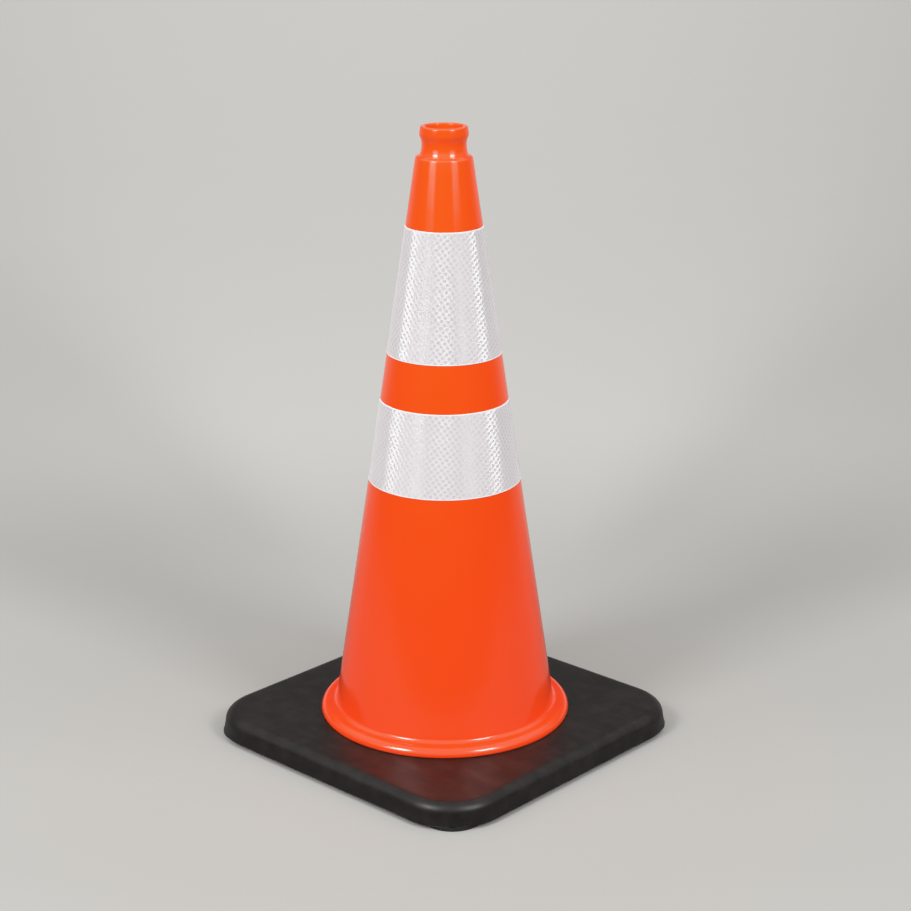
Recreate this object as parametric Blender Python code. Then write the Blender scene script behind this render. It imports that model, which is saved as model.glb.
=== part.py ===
"""A 750 mm road traffic cone: a thin orange PVC body locked through a weighted black base,
two wrapped reflective collars of laminated sheeting, and four rubber foot pads.

Metres, +Z up. The origin is on the floor, on the cone's axis. The base's sides face +-X and +-Y,
and the collars' overlap seams face +Y, the back.
"""

import math

import bmesh
import bpy
from mathutils import Matrix, Vector

# --- Driving dimensions -------------------------------------------------------------------

GAP = 0.0003  # clearance left between neighbouring pieces
HEIGHT = 0.750

# Base slab: a rounded square that carries the cone.
BASE_TOP = 0.0314
BASE_BOTTOM = 0.0047
BASE_WIDTH = 0.4289
BASE_CORNER_R = 0.071
BASE_EDGE_R = 0.0134  # the rolled upper edge
BASE_DRAFT = 0.0023  # how far each side leans in below the rolled edge
BASE_ARRIS = 0.0006  # small chamfer along the lower edge

# Cone wall: a straight taper between the base's top and the shoulder under the neck.
WALL = 0.0032
TAPER_FOOT_R = 0.1359
TAPER_TOP_R = 0.0335
SHOULDER_Z = 0.7160
SHOULDER_EDGE_R = 0.0030
SHOULDER_FILLET_R = 0.0022

# Neck: the waisted grip above the shoulder, and the thick rim around its open top.
NECK_R = 0.0260
NECK_Z = 0.7295
NECK_UPPER_ARC_R = 0.020
NECK_LOWER_ARC_R = 0.033
NECK_BORE_R = 0.0215
RIM_R = 0.0286
RIM_BOTTOM_Z = 0.7395
RIM_TAPER = 0.0009  # the rim leans in by this much towards its top
RIM_EDGE_R = 0.0016
RIM_LIP = 0.0020  # height of the rim's lowest, nearly upright stretch
RIM_LIP_TAPER = 0.0001
RIM_UNDERSIDE = 0.0012  # height of the sloping step under the rim
SHOULDER_PLATE = 0.0036
HAUNCH_HEIGHT = 0.004  # the thickened corner inside, under the shoulder
HAUNCH_REACH = 0.003

# Flange: the rolled foot of the body, which sits on the base, and the skirt that goes through it.
FLANGE_R = 0.1527
FLANGE_TOP = 0.0422
FLANGE_EDGE_R = 0.0090
FLANGE_FILLET_R = 0.0060
FLANGE_UNDERCUT = 0.0006  # how far the flange's lowest edge tucks in
SKIRT_BOTTOM = 0.0062

# Locking lugs: moulded under the flange, through the base, with a head in a counterbore.
LUG_COUNT = 12
LUG_CIRCLE_R = 0.1470
LUG_R = 0.0040
LUG_HEAD_R = 0.0060
LUG_HEAD_TOP = 0.0095

# Collars: a white backing film under a clear prismatic lens film, wrapped round the taper.
UPPER_COLLAR_TOP = 0.6355
UPPER_COLLAR_WIDTH = 0.152
LOWER_COLLAR_TOP = 0.4291
LOWER_COLLAR_WIDTH = 0.100
FILM = 0.0004  # thickness of each of the two films
COLLAR_PROUD = 0.0005  # how far the lens film stands out of the body
OVERLAP = 0.012  # length of the collar's end that laps over its start
RAMP = 0.008  # length over which that end climbs onto the start

# Foot pads: soft rubber discs, each with a plug pressed up into the slab.
FOOT_R = 0.036
FOOT_PROUD = 0.0008  # how far a pad's rim passes the slab's corner
FOOT_EDGE_R = 0.0012
PLUG_R = 0.012
PLUG_TOP = 0.0140
GROOVE_R = 0.022  # mean radius of the groove in a pad's tread
GROOVE_WIDTH = 0.003
GROOVE_DEPTH = 0.0012

CUT_MARGIN = 0.002  # how far a cutter passes the face it goes through
BODY_STEPS = 60
FOOT_STEPS = 24
LUG_STEPS = 12
CORNER_STEPS = 10
SEAM_ANGLE = math.pi / 2

# --- Dimensions that follow ---------------------------------------------------------------

SLOPE = (TAPER_FOOT_R - TAPER_TOP_R) / (SHOULDER_Z - SHOULDER_EDGE_R - BASE_TOP)
HALF_ANGLE = math.atan(SLOPE)
LAMINATE = 2 * (GAP + FILM)
SEAT_DEPTH = LAMINATE - COLLAR_PROUD
CORNER_CENTRE = BASE_WIDTH / 2 - BASE_CORNER_R
FOOT_DIAGONAL = math.sqrt(2) * CORNER_CENTRE + BASE_CORNER_R + FOOT_PROUD - FOOT_R


def wall_radius(z):
    """Outer radius of the tapered wall at a height."""
    return TAPER_FOOT_R - SLOPE * (z - BASE_TOP)


def arc(centre_r, centre_z, radius, start, end, steps):
    """Points (r, z) along an arc, with its angles in degrees from +r towards +z."""
    angles = [math.radians(start + (end - start) * i / steps) for i in range(steps + 1)]
    return [(centre_r + radius * math.cos(a), centre_z + radius * math.sin(a)) for a in angles]


# --- Making meshes ------------------------------------------------------------------------


def clear_scene():
    for obj in list(bpy.data.objects):
        bpy.data.objects.remove(obj, do_unlink=True)


def material(name, colour, roughness, metallic=0.0):
    made = bpy.data.materials.new(name)
    made.use_nodes = True
    shader = made.node_tree.nodes["Principled BSDF"]
    shader.inputs["Base Color"].default_value = (*colour, 1.0)
    shader.inputs["Roughness"].default_value = roughness
    shader.inputs["Metallic"].default_value = metallic
    return made


def object_from(bm, name, finish=None):
    """Links a new object holding the bmesh, with its faces pointing out."""
    bmesh.ops.recalc_face_normals(bm, faces=bm.faces[:])
    mesh = bpy.data.meshes.new(name)
    bm.to_mesh(mesh)
    bm.free()
    mesh.shade_smooth()
    mesh.set_sharp_from_angle(angle=math.radians(30))
    if finish:
        mesh.materials.append(finish)
    obj = bpy.data.objects.new(name, mesh)
    bpy.context.scene.collection.objects.link(obj)
    return obj


def turn(bm, profile, steps, at=(0.0, 0.0)):
    """Adds a closed profile of (r, z) points, spun once round the vertical through at."""
    centre = Vector((at[0], at[1], 0.0))
    verts = [bm.verts.new(centre + Vector((r, 0.0, z))) for r, z in profile]
    edges = [bm.edges.new((verts[i - 1], verts[i])) for i in range(len(verts))]
    bmesh.ops.spin(
        bm, geom=edges, cent=centre, axis=(0, 0, 1), angle=math.tau, steps=steps, use_merge=True
    )


def rod(bm, outline, steps, at=(0.0, 0.0)):
    """Adds a solid rod: an outline of (r, z) points from its lowest ring to its highest."""
    rings = [
        [
            bm.verts.new((at[0] + r * math.cos(a), at[1] + r * math.sin(a), z))
            for a in (math.tau * i / steps for i in range(steps))
        ]
        for r, z in outline
    ]
    skin(bm, rings)


def skin(bm, rings):
    """Joins rings of equal length into a closed tube with flat ends."""
    for lower, upper in zip(rings, rings[1:]):
        for i in range(len(lower)):
            bm.faces.new((lower[i - 1], lower[i], upper[i], upper[i - 1]))
    bm.faces.new(rings[0])
    bm.faces.new(rings[-1])


def helper_from(bm, name):
    """An object that only cuts or joins others, and isn't a part."""
    obj = object_from(bm, name)
    obj.hide_render = True
    obj.display_type = "WIRE"
    return obj


def combine(obj, other, operation):
    modifier = obj.modifiers.new(operation.title(), "BOOLEAN")
    modifier.operation = operation
    modifier.solver = "EXACT"
    modifier.object = other


# --- Cone body ----------------------------------------------------------------------------


def rim_and_neck():
    """From the bore's upper edge out over the rim, and down the waisted neck."""
    rim_top_r = RIM_R - RIM_TAPER
    waist_drop = RIM_BOTTOM_Z - RIM_UNDERSIDE - NECK_Z
    upper_end = math.degrees(math.asin(waist_drop / NECK_UPPER_ARC_R))
    lower_end = math.degrees(math.asin((NECK_Z - SHOULDER_Z - SHOULDER_FILLET_R) / NECK_LOWER_ARC_R))
    points = arc(NECK_BORE_R + RIM_EDGE_R, HEIGHT - RIM_EDGE_R, RIM_EDGE_R, 180, 90, 2)
    points += arc(rim_top_r - RIM_EDGE_R, HEIGHT - RIM_EDGE_R, RIM_EDGE_R, 90, 0, 3)
    points += [(RIM_R, RIM_BOTTOM_Z + RIM_LIP), (RIM_R - RIM_LIP_TAPER, RIM_BOTTOM_Z)]
    points += arc(NECK_R + NECK_UPPER_ARC_R, NECK_Z, NECK_UPPER_ARC_R, 180 - upper_end, 180, 4)
    points += arc(NECK_R + NECK_LOWER_ARC_R, NECK_Z, NECK_LOWER_ARC_R, 180, 180 + lower_end, 4)[1:]
    return points


def shoulder():
    """The fillet at the neck's foot and the rounded edge onto the taper."""
    neck_foot_r = NECK_R + NECK_LOWER_ARC_R - math.sqrt(
        NECK_LOWER_ARC_R**2 - (NECK_Z - SHOULDER_Z - SHOULDER_FILLET_R) ** 2
    )
    fillet_r = neck_foot_r + SHOULDER_FILLET_R
    edge_z = SHOULDER_Z - SHOULDER_EDGE_R
    edge_r = wall_radius(edge_z) - SHOULDER_EDGE_R / math.cos(HALF_ANGLE)
    half_angle = math.degrees(HALF_ANGLE)
    points = arc(fillet_r, SHOULDER_Z + SHOULDER_FILLET_R, SHOULDER_FILLET_R, 180, 270, 3)[1:]
    points += arc(edge_r, edge_z, SHOULDER_EDGE_R, 90, half_angle, 4)
    return points


def collar_seat(top, width):
    """The shallow band in the wall that holds one collar, from its top edge down."""
    upper = top + GAP
    lower = top - width * math.cos(HALF_ANGLE) - GAP
    inward = SEAT_DEPTH / math.cos(HALF_ANGLE)
    return [
        (wall_radius(upper), upper),
        (wall_radius(upper) - inward, upper),
        (wall_radius(lower) - inward, lower),
        (wall_radius(lower), lower),
    ]


def flange_and_skirt():
    """The fillet at the wall's foot, the rolled flange, and the skirt's outside."""
    fillet_z = FLANGE_TOP + FLANGE_FILLET_R
    fillet_r = wall_radius(fillet_z) + FLANGE_FILLET_R / math.cos(HALF_ANGLE)
    edge_z = FLANGE_TOP - FLANGE_EDGE_R
    seat_z = BASE_TOP + GAP
    half_angle = math.degrees(HALF_ANGLE)
    points = arc(fillet_r, fillet_z, FLANGE_FILLET_R, 180 + half_angle, 270, 4)
    points += arc(FLANGE_R - FLANGE_EDGE_R, edge_z, FLANGE_EDGE_R, 90, 0, 5)
    points += [(FLANGE_R - FLANGE_UNDERCUT, seat_z), (wall_radius(seat_z), seat_z)]
    points += [(wall_radius(SKIRT_BOTTOM), SKIRT_BOTTOM)]
    return points


def inside():
    """The inner surface, from the skirt's foot up to the bore."""
    inward = WALL / math.cos(HALF_ANGLE)
    ceiling = SHOULDER_Z - SHOULDER_PLATE
    under = ceiling - HAUNCH_HEIGHT
    return [
        (wall_radius(SKIRT_BOTTOM) - inward, SKIRT_BOTTOM),
        (wall_radius(under) - inward, under),
        (wall_radius(under) - inward - HAUNCH_REACH, ceiling),
        (NECK_BORE_R, ceiling),
    ]


def lug_places():
    for i in range(LUG_COUNT):
        angle = math.tau * i / LUG_COUNT
        yield LUG_CIRCLE_R * math.cos(angle), LUG_CIRCLE_R * math.sin(angle)


def make_body(finish):
    profile = rim_and_neck() + shoulder()
    profile += collar_seat(UPPER_COLLAR_TOP, UPPER_COLLAR_WIDTH)
    profile += collar_seat(LOWER_COLLAR_TOP, LOWER_COLLAR_WIDTH)
    profile += flange_and_skirt() + inside()
    bm = bmesh.new()
    turn(bm, profile, BODY_STEPS)
    body = object_from(bm, "cone_body", finish)

    bm = bmesh.new()
    flange_middle = (BASE_TOP + FLANGE_TOP) / 2
    outline = [
        (LUG_HEAD_R, SKIRT_BOTTOM),
        (LUG_HEAD_R, LUG_HEAD_TOP),
        (LUG_R, LUG_HEAD_TOP),
        (LUG_R, flange_middle),
    ]
    for place in lug_places():
        rod(bm, outline, LUG_STEPS, place)
    combine(body, helper_from(bm, "lugs"), "UNION")
    return body


# --- Base ---------------------------------------------------------------------------------


def rounded_square(inset, z):
    """Corner points of the slab's outline, drawn in by inset, anticlockwise from +X."""
    radius = BASE_CORNER_R - inset
    points = []
    for quarter in range(4):
        turned = Matrix.Rotation(quarter * math.pi / 2, 3, "Z")
        for step in range(CORNER_STEPS + 1):
            angle = math.pi / 2 * step / CORNER_STEPS
            corner = Vector((CORNER_CENTRE, CORNER_CENTRE, z))
            reach = Vector((radius * math.cos(angle), radius * math.sin(angle), 0.0))
            points.append(turned @ (corner + reach))
    return points


def base_levels():
    """(inset, z) of the slab's outline from its lower edge up over the rolled edge."""
    levels = [(BASE_ARRIS, BASE_BOTTOM), (0.0, BASE_BOTTOM + BASE_ARRIS)]
    for step in range(7):
        angle = math.pi / 2 * step / 6
        inset = BASE_DRAFT + BASE_EDGE_R * (1 - math.cos(angle))
        levels.append((inset, BASE_TOP - BASE_EDGE_R * (1 - math.sin(angle))))
    return levels


def foot_places():
    """(name, x, y) of each foot pad."""
    reach = FOOT_DIAGONAL / math.sqrt(2)
    for name, sx, sy in (
        ("front_right", 1, -1),
        ("back_right", 1, 1),
        ("back_left", -1, 1),
        ("front_left", -1, -1),
    ):
        yield name, sx * reach, sy * reach


def make_base(finish):
    bm = bmesh.new()
    skin(bm, [[bm.verts.new(p) for p in rounded_square(*level)] for level in base_levels()])
    base = object_from(bm, "base_slab", finish)

    bm = bmesh.new()
    low, high = BASE_BOTTOM - CUT_MARGIN, BASE_TOP + CUT_MARGIN
    clear = GAP / math.cos(HALF_ANGLE)
    rod(bm, [(wall_radius(low) + clear, low), (wall_radius(high) + clear, high)], BODY_STEPS)
    bore = [
        (LUG_HEAD_R + GAP, low),
        (LUG_HEAD_R + GAP, LUG_HEAD_TOP + GAP),
        (LUG_R + GAP, LUG_HEAD_TOP + GAP),
        (LUG_R + GAP, high),
    ]
    for place in lug_places():
        rod(bm, bore, LUG_STEPS, place)
    for _, x, y in foot_places():
        rod(bm, [(PLUG_R + GAP, low), (PLUG_R + GAP, PLUG_TOP + GAP)], FOOT_STEPS, (x, y))
    combine(base, helper_from(bm, "base_cutouts"), "DIFFERENCE")
    return base


def make_feet(finish):
    pad_top = BASE_BOTTOM - GAP
    inner, outer = GROOVE_R - GROOVE_WIDTH / 2, GROOVE_R + GROOVE_WIDTH / 2
    tread = [(inner, 0.0), (inner, GROOVE_DEPTH), (outer, GROOVE_DEPTH), (outer, 0.0)]
    rim = arc(FOOT_R - FOOT_EDGE_R, FOOT_EDGE_R, FOOT_EDGE_R, -90, 0, 2)
    outline = tread + rim + [(FOOT_R, pad_top), (PLUG_R, pad_top), (PLUG_R, PLUG_TOP)]
    for name, x, y in foot_places():
        bm = bmesh.new()
        rod(bm, outline, FOOT_STEPS)
        foot = object_from(bm, f"foot_pad_{name}", finish)
        foot.location = (x, y, 0.0)


# --- Collars ------------------------------------------------------------------------------


def make_film(name, top, width, lift, finish):
    """One film of a collar: a strip wrapped once round the taper from the seam, whose last
    stretch climbs over its own start. lift is how far its inner face is from the seat."""
    bottom = top - width * math.cos(HALF_ANGLE)
    middle_r = wall_radius((top + bottom) / 2)
    overlap, ramp = OVERLAP / middle_r, RAMP / middle_r
    turn_step = math.tau / BODY_STEPS
    angles = [turn_step * i for i in range(BODY_STEPS) if turn_step * i < math.tau - ramp]
    angles += [math.tau - ramp, math.tau - ramp / 2, math.tau - GAP / middle_r]
    angles += [math.tau + turn_step * i for i in range(BODY_STEPS) if turn_step * i < overlap]
    angles.append(math.tau + overlap)
    bm = bmesh.new()
    rings = []
    for angle in angles:
        climb = min(max((angle - math.tau + ramp) / (ramp - GAP / middle_r), 0.0), 1.0) * LAMINATE
        inner = (lift + climb - SEAT_DEPTH) / math.cos(HALF_ANGLE)
        outer = inner + FILM / math.cos(HALF_ANGLE)
        around = SEAM_ANGLE + angle
        ring = []
        for out, z in ((inner, bottom), (outer, bottom), (outer, top), (inner, top)):
            radius = wall_radius(z) + out
            ring.append(bm.verts.new((radius * math.cos(around), radius * math.sin(around), z)))
        rings.append(ring)
    skin(bm, rings)
    return object_from(bm, name, finish)


def make_collars(lens_finish, backing_finish):
    for name, top, width in (
        ("upper_collar", UPPER_COLLAR_TOP, UPPER_COLLAR_WIDTH),
        ("lower_collar", LOWER_COLLAR_TOP, LOWER_COLLAR_WIDTH),
    ):
        make_film(f"{name}_backing", top, width, GAP, backing_finish)
        make_film(f"{name}_lens_film", top, width, GAP + FILM + GAP, lens_finish)


def main():
    clear_scene()
    orange = material("orange_pvc", (0.93, 0.10, 0.018), 0.28)
    black = material("black_rubber", (0.018, 0.018, 0.018), 0.55)
    pad = material("pad_rubber", (0.012, 0.011, 0.010), 0.8)
    lens = material("prismatic_film", (0.80, 0.79, 0.81), 0.2)
    backing = material("white_backing", (0.85, 0.85, 0.86), 0.5)
    make_body(orange)
    make_base(black)
    make_feet(pad)
    make_collars(lens, backing)


main()
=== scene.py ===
"""The looks of the 750 mm road cone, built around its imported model.

Metres, +Z up. The origin is on the floor, on the cone's axis. The base's sides face +-X and +-Y,
and the collars' overlap seams face +Y, the back. Every piece is made finer here than in the
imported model, from the same sizes, and rides on the one body.
"""

import math

import bmesh
import bpy
from mathutils import Euler, Matrix, Vector, noise


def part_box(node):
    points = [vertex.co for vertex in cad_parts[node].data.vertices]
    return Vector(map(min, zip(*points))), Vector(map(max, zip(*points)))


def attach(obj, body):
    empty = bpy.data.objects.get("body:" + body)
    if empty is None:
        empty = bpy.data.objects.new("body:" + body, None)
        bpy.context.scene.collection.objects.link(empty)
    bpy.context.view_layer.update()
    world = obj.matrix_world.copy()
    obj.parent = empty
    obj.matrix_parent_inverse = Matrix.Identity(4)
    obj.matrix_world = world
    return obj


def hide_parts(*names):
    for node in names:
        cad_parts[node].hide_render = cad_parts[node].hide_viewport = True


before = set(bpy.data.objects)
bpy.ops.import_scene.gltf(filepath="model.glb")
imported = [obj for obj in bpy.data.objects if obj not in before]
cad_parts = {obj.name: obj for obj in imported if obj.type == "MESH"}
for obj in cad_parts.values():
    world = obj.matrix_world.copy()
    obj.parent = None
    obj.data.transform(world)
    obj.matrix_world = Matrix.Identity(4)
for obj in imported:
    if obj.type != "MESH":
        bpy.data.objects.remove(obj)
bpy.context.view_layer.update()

# --- Sizes ----------------------------------------------------------------------------------
# Levels are read from the imported model's pieces. The rest are the driving dimensions of the
# imported model.

body_low, body_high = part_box("cone_body")
slab_low, slab_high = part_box("base_slab")

GAP = 0.0003  # clearance between neighbouring pieces
HEIGHT = body_high.z
SKIRT_BOTTOM = body_low.z
BASE_TOP = slab_high.z
BASE_BOTTOM = slab_low.z
BASE_WIDTH = slab_high.x - slab_low.x

BASE_CORNER_R = 0.071
BASE_EDGE_R = 0.0134
BASE_DRAFT = 0.0023
BASE_ARRIS = 0.0006

WALL = 0.0032
TAPER_FOOT_R = 0.1359
TAPER_TOP_R = 0.0335
SHOULDER_Z = 0.7160
SHOULDER_EDGE_R = 0.0030
SHOULDER_FILLET_R = 0.0022

NECK_R = 0.0260
NECK_Z = 0.7295
NECK_UPPER_ARC_R = 0.020
NECK_LOWER_ARC_R = 0.033
NECK_BORE_R = 0.0215
RIM_R = 0.0286
RIM_BOTTOM_Z = 0.7395
RIM_TAPER = 0.0009
RIM_EDGE_R = 0.0016
RIM_LIP = 0.0020
RIM_LIP_TAPER = 0.0001
RIM_UNDERSIDE = 0.0012
SHOULDER_PLATE = 0.0036
HAUNCH_HEIGHT = 0.004
HAUNCH_REACH = 0.003

FLANGE_R = 0.1527
FLANGE_TOP = 0.0422
FLANGE_EDGE_R = 0.0090
FLANGE_FILLET_R = 0.0060
FLANGE_UNDERCUT = 0.0006

LUG_COUNT = 12
LUG_CIRCLE_R = 0.1470
LUG_R = 0.0040
LUG_HEAD_R = 0.0060
LUG_HEAD_TOP = 0.0095
LUG_ARRIS = 0.0006

FILM = 0.0004
COLLAR_PROUD = 0.0005
OVERLAP = 0.012
RAMP = 0.008
FILM_ARRIS = 0.0002  # softened edge of the lens film, twice that of the backing

FOOT_EDGE_R = 0.0012
PLUG_R = 0.012
PLUG_TOP = 0.0140
GROOVE_R = 0.022
GROOVE_WIDTH = 0.003
GROOVE_DEPTH = 0.0012

SLOPE = (TAPER_FOOT_R - TAPER_TOP_R) / (SHOULDER_Z - SHOULDER_EDGE_R - BASE_TOP)
HALF_ANGLE = math.atan(SLOPE)
APEX_Z = BASE_TOP + TAPER_FOOT_R / SLOPE
LAMINATE = 2 * (GAP + FILM)
SEAT_DEPTH = LAMINATE - COLLAR_PROUD
CORNER_CENTRE = BASE_WIDTH / 2 - BASE_CORNER_R
SEAM_ANGLE = math.pi / 2

# How finely the pieces are turned.
BODY_STEPS = 240
LUG_STEPS = 24
FOOT_STEPS = 72
CORNER_STEPS = 22
SIDE_STEPS = 18
DECK_RINGS = 14
WALL_STEP = 0.012
RIM_EDGE_STEPS = 6
NECK_STEPS = 10
SHOULDER_FILLET_STEPS = 8
SHOULDER_EDGE_STEPS = 10
FLANGE_FILLET_STEPS = 10
FLANGE_EDGE_STEPS = 14
BASE_EDGE_STEPS = 14
FOOT_EDGE_STEPS = 6
PLUG_EDGE_STEPS = 5
RAMP_STEPS = 6

CUT_MARGIN = 0.002  # how far a cutting solid passes what it cuts
SHARP_ANGLE = math.radians(35)  # edges past it stay sharp, and the others are smooth

# Slight unevenness of the mouldings: the distance over which it varies, how deep it goes and
# its seed. It is always inwards, so that nothing grows.
BODY_UNEVEN = (0.07, 0.00012, 3.0)
RIM_UNEVEN = (0.02, 0.00018, 3.0)
RIM_TOP_UNEVEN = (0.015, 0.00018, 9.0)
SLAB_UNEVEN = (0.09, 0.00015, 5.0)


def wall_radius(z):
    """Outer radius of the tapered wall at a height."""
    return TAPER_FOOT_R - SLOPE * (z - BASE_TOP)


def arc(centre_r, centre_z, radius, start, end, steps):
    """Points (r, z) along an arc, with its angles in degrees from +r towards +z."""
    angles = [math.radians(start + (end - start) * i / steps) for i in range(steps + 1)]
    return [(centre_r + radius * math.cos(a), centre_z + radius * math.sin(a)) for a in angles]


# --- Making meshes --------------------------------------------------------------------------


def object_from(bm, name, finish=None):
    """Links a new object holding the bmesh, its faces outwards, smooth but for sharp edges."""
    bmesh.ops.recalc_face_normals(bm, faces=bm.faces[:])
    mesh = bpy.data.meshes.new(name)
    bm.to_mesh(mesh)
    bm.free()
    mesh.shade_smooth()
    mesh.set_sharp_from_angle(angle=SHARP_ANGLE)
    if finish:
        mesh.materials.append(finish)
    obj = bpy.data.objects.new(name, mesh)
    bpy.context.scene.collection.objects.link(obj)
    return obj


def loft(bm, rings, closed):
    """Joins rings of equal length, each a loop. A closed loft joins the last to the first, and an
    open one has flat ends."""
    pairs = list(zip(rings, rings[1:]))
    if closed:
        pairs.append((rings[-1], rings[0]))
    for first, second in pairs:
        for i in range(len(first)):
            bm.faces.new((first[i - 1], first[i], second[i], second[i - 1]))
    if not closed:
        bm.faces.new(rings[0])
        bm.faces.new(rings[-1])


def turned_rings(bm, outline, steps, at=(0.0, 0.0)):
    """A ring of vertices for each (r, z) of the outline, round the vertical through at."""
    angles = [math.tau * i / steps for i in range(steps)]
    return [
        [bm.verts.new((at[0] + r * math.cos(a), at[1] + r * math.sin(a), z)) for a in angles]
        for r, z in outline
    ]


def cut_or_join(obj, bm, operation):
    """Applies an exact Boolean with the solid in bm, which isn't kept."""
    helper = object_from(bm, "helper")
    modifier = obj.modifiers.new(operation.title(), "BOOLEAN")
    modifier.operation = operation
    modifier.solver = "EXACT"
    modifier.object = helper
    shapes = bpy.context.evaluated_depsgraph_get()
    result = bpy.data.meshes.new_from_object(obj.evaluated_get(shapes))
    obj.modifiers.clear()
    obj.data = result
    bpy.data.objects.remove(helper)


def uneven(place, size, depth, seed):
    """A smooth shift between 0 and depth that varies over distances of about size."""
    sample = noise.noise(Vector(place) / size + Vector((seed, seed, seed)))
    return depth * (0.5 + 0.5 * sample)


# --- Node helpers ---------------------------------------------------------------------------


def add(tree, kind, settings=None, **inputs):
    """Adds a node. Inputs are sockets to link or plain values, named with _ for a space."""
    made = tree.nodes.new(kind)
    for key, value in (settings or {}).items():
        setattr(made, key, value)
    for key, value in inputs.items():
        feed(tree, made.inputs[key.replace("_", " ")], value)
    return made


def feed(tree, socket, value):
    if isinstance(value, bpy.types.NodeSocket):
        tree.links.new(value, socket)
    else:
        socket.default_value = value


def calc(tree, operation, *values):
    made = tree.nodes.new("ShaderNodeMath")
    made.operation = operation
    for socket, value in zip(made.inputs, values):
        feed(tree, socket, value)
    return made.outputs[0]


def vector_calc(tree, operation, first, second=None, scale=None):
    """A vector that comes from one or two vectors, or from one and a scale."""
    made = tree.nodes.new("ShaderNodeVectorMath")
    made.operation = operation
    feed(tree, made.inputs[0], first)
    if second is not None:
        feed(tree, made.inputs[1], second)
    if scale is not None:
        feed(tree, made.inputs["Scale"], scale)
    return made.outputs[0]


def vector_number(tree, operation, *vectors):
    """A number that comes from one or two vectors."""
    made = tree.nodes.new("ShaderNodeVectorMath")
    made.operation = operation
    for socket, vector in zip(made.inputs, vectors):
        feed(tree, socket, vector)
    return made.outputs["Value"]


def step_between(tree, value, low, high, out_low=0.0, out_high=1.0):
    """Goes smoothly from out_low to out_high as value goes from low to high."""
    made = tree.nodes.new("ShaderNodeMapRange")
    made.interpolation_type = "SMOOTHSTEP"
    for socket, given in zip(made.inputs, (value, low, high, out_low, out_high)):
        feed(tree, socket, given)
    return made.outputs[0]


# The Mix node has sockets for each type of data. These are the ones for colours.
MIX_FACTOR, MIX_FIRST, MIX_SECOND, MIX_RESULT = 0, 6, 7, 2


def mixed(tree, factor, first, second):
    """A colour between two colours."""
    made = tree.nodes.new("ShaderNodeMix")
    made.data_type = "RGBA"
    feed(tree, made.inputs[MIX_FACTOR], factor)
    for index, colour in ((MIX_FIRST, first), (MIX_SECOND, second)):
        linked = isinstance(colour, bpy.types.NodeSocket)
        feed(tree, made.inputs[index], colour if linked else (*colour, 1.0))
    return made.outputs[MIX_RESULT]


def grain(tree, place, scale, detail=2.0, roughness=0.5):
    """Noise from 0 to 1, about its middle 0.5. scale is in cells per metre."""
    made = add(
        tree, "ShaderNodeTexNoise", Vector=place, Scale=scale, Detail=detail, Roughness=roughness
    )
    return made.outputs["Fac"]


def new_material(name, ior=1.5, specular=0.5):
    made = bpy.data.materials.new(name)
    made.use_nodes = True
    tree = made.node_tree
    shader = tree.nodes["Principled BSDF"]
    shader.inputs["IOR"].default_value = ior
    shader.inputs["Specular IOR Level"].default_value = specular
    return made, tree, shader


def object_place(tree):
    return tree.nodes.new("ShaderNodeTexCoord").outputs["Object"]


def object_level(tree, place):
    return add(tree, "ShaderNodeSeparateXYZ", Vector=place).outputs["Z"]


# --- Materials ------------------------------------------------------------------------------
# A grain is its scale in cells per metre, then its octaves of detail and their roughness. A bump
# is its strength and its height in metres. A span is where a smooth step starts and ends.

# Pale dust. The slab's painted arris highlight uses the same colour.
DUST_AND_ARRIS_HIGHLIGHT = (0.13, 0.125, 0.12)
GRAIN_SPAN = (0.3, 0.7)  # where most of a grain's values lie

# The orange is painted lighter towards the top, standing in for the stronger light on the upper
# cone.
ORANGE_TOP_PAINTED_LIGHTER = (0.96, 0.082, 0.0060)
ORANGE_FOOT = (0.93, 0.057, 0.0040)
ORANGE_LEVELS = (0.08, 0.80)  # heights between which the orange is painted lighter, from the foot's colour to the top's
ORANGE_DRIFT = 0.10  # how far that change wanders up and down
ORANGE_DRIFT_GRAIN = (14.0, 3.0)
ORANGE_SMUDGE_GRAIN = (45.0, 3.0)
ORANGE_TEXTURE_GRAIN = (160.0, 2.0)
ORANGE_ROUGHNESS = (0.12, 0.17)
ORANGE_BUMP = (0.25, 0.00005)

RUBBER = (0.0058, 0.0043, 0.0034)
RUBBER_WORN = (0.0130, 0.0104, 0.0088)
MOTTLE_GRAIN = (55.0, 5.0, 0.62)
MOTTLE_SPAN = (0.35, 0.75)
SPECK_SCALE = 42.0
SPECK_EDGE = (0.012, 0.030)  # in the specks' own cells
NO_SPECK = 0.86  # share of the cells that have none
ARRIS_HIGHLIGHT_REACH = (0.0005, 0.0011)  # how far up from the slab's lower edge the painted highlight reaches
ARRIS_HIGHLIGHT_GRAIN = (30.0, 2.0)
ARRIS_HIGHLIGHT_SPAN = (0.45, 0.6)
STREAK_TURN = 0.5
STREAK_SCALES = (9.0, 60.0, 30.0)
STREAK_GRAIN = (1.0, 4.0, 0.6)
RUBBER_TEXTURE_GRAINS = ((240.0, 3.0), (1100.0, 2.0))
RUBBER_ROUGHNESS = (0.36, 0.47)
RUBBER_BUMP = (0.35, 0.00008)

PAD_BLACK = (0.010, 0.0095, 0.009)
PAD_DUST = 0.35  # how much of the dust's colour the dustiest patches have
PAD_DUST_LEVELS = (0.0004, 0.0016)
PAD_PATCH_GRAIN = (120.0, 4.0)
PAD_PATCH_SPAN = (0.45, 0.7)
PAD_TEXTURE_GRAIN = (800.0, 3.0)
PAD_ROUGHNESS = (0.70, 0.82)
PAD_BUMP = (0.4, 0.0001)

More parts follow.
